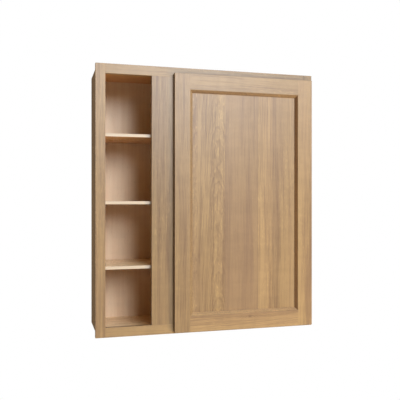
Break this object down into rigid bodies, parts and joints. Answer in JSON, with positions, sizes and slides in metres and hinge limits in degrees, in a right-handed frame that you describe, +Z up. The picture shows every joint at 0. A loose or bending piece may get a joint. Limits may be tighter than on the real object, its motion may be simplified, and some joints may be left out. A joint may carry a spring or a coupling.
{
  "type": "hanging wall cabinet",
  "caption": "Tall face-frame wall cabinet in light tan wood, with an open shelved bay at the left, a wide blind stile and one framed flat-panel door hinged at the right.",
  "frame": {"origin": "centre of the top hang rail's wall face", "axes": "+X to the right for someone facing the cabinet, +Y into the wall, +Z up"},
  "size_m": [0.9144, 0.3259, 1.0668],
  "materials": {
    "stained_frame_wood": "light tan stained hardwood, satin lacquer",
    "stained_door_wood": "light tan stained hardwood, satin lacquer",
    "side_panel_wood": "tan laminated plywood, satin",
    "maple_interior": "natural maple laminate, satin",
    "edge_band": "pale maple edge band",
    "nickel_steel": "nickel-plated pressed steel",
    "zinc_steel": "zinc-plated steel",
    "clear_plastic": "clear soft plastic, slightly milky"
  },
  "bodies": {
    "cabinet": {"frame_left_stile": "stained_frame_wood", "frame_right_stile": "stained_frame_wood", "frame_top_rail": "stained_frame_wood", "frame_bottom_rail": "stained_frame_wood", "frame_blind_stile": "stained_frame_wood", "left_side_panel": "side_panel_wood", "right_side_panel": "side_panel_wood", "top_panel": "maple_interior", "bottom_panel": "maple_interior", "back_panel": "maple_interior", "top_hang_rail": "maple_interior", "bottom_hang_rail": "maple_interior", "upper_shelf_pin_left_front": "zinc_steel", "upper_shelf_pin_left_back": "zinc_steel", "upper_shelf_pin_right_front": "zinc_steel", "upper_shelf_pin_right_back": "zinc_steel", "middle_shelf_pin_left_front": "zinc_steel", "middle_shelf_pin_left_back": "zinc_steel", "middle_shelf_pin_right_front": "zinc_steel", "middle_shelf_pin_right_back": "zinc_steel", "lower_shelf_pin_left_front": "zinc_steel", "lower_shelf_pin_left_back": "zinc_steel", "lower_shelf_pin_right_front": "zinc_steel", "lower_shelf_pin_right_back": "zinc_steel", "upper_hinge_arm": "nickel_steel", "upper_hinge_arm_screw": "zinc_steel", "middle_hinge_arm": "nickel_steel", "middle_hinge_arm_screw": "zinc_steel", "lower_hinge_arm": "nickel_steel", "lower_hinge_arm_screw": "zinc_steel"},
    "door": {"door_hinge_stile": "stained_door_wood", "door_free_stile": "stained_door_wood", "door_top_rail": "stained_door_wood", "door_bottom_rail": "stained_door_wood", "door_centre_panel": "stained_door_wood", "door_bumper_top": "clear_plastic", "door_bumper_bottom": "clear_plastic", "upper_hinge_cup": "nickel_steel", "upper_hinge_pin": "zinc_steel", "upper_hinge_spring": "zinc_steel", "upper_hinge_cup_screw_top": "zinc_steel", "upper_hinge_cup_screw_bottom": "zinc_steel", "middle_hinge_cup": "nickel_steel", "middle_hinge_pin": "zinc_steel", "middle_hinge_spring": "zinc_steel", "middle_hinge_cup_screw_top": "zinc_steel", "middle_hinge_cup_screw_bottom": "zinc_steel", "lower_hinge_cup": "nickel_steel", "lower_hinge_pin": "zinc_steel", "lower_hinge_spring": "zinc_steel", "lower_hinge_cup_screw_top": "zinc_steel", "lower_hinge_cup_screw_bottom": "zinc_steel"},
    "upper_shelf": {"upper_shelf": "maple_interior", "upper_shelf_edge_band": "edge_band"},
    "middle_shelf": {"middle_shelf": "maple_interior", "middle_shelf_edge_band": "edge_band"},
    "lower_shelf": {"lower_shelf": "maple_interior", "lower_shelf_edge_band": "edge_band"}
  },
  "joints": [
    {"name": "door_hinge", "type": "hinge", "parent": "cabinet", "child": "door", "pos_m": [0.4411, -0.3153, -0.50483], "axis": [0, 0, 1], "range_deg": [0, 100]},
    {"name": "upper_shelf_lift", "type": "slide", "parent": "cabinet", "child": "upper_shelf", "axis": [0, 0, 1], "range_m": [0, 0.05]},
    {"name": "middle_shelf_lift", "type": "slide", "parent": "cabinet", "child": "middle_shelf", "axis": [0, 0, 1], "range_m": [0, 0.05]},
    {"name": "lower_shelf_lift", "type": "slide", "parent": "cabinet", "child": "lower_shelf", "axis": [0, 0, 1], "range_m": [0, 0.05]}
  ]
}
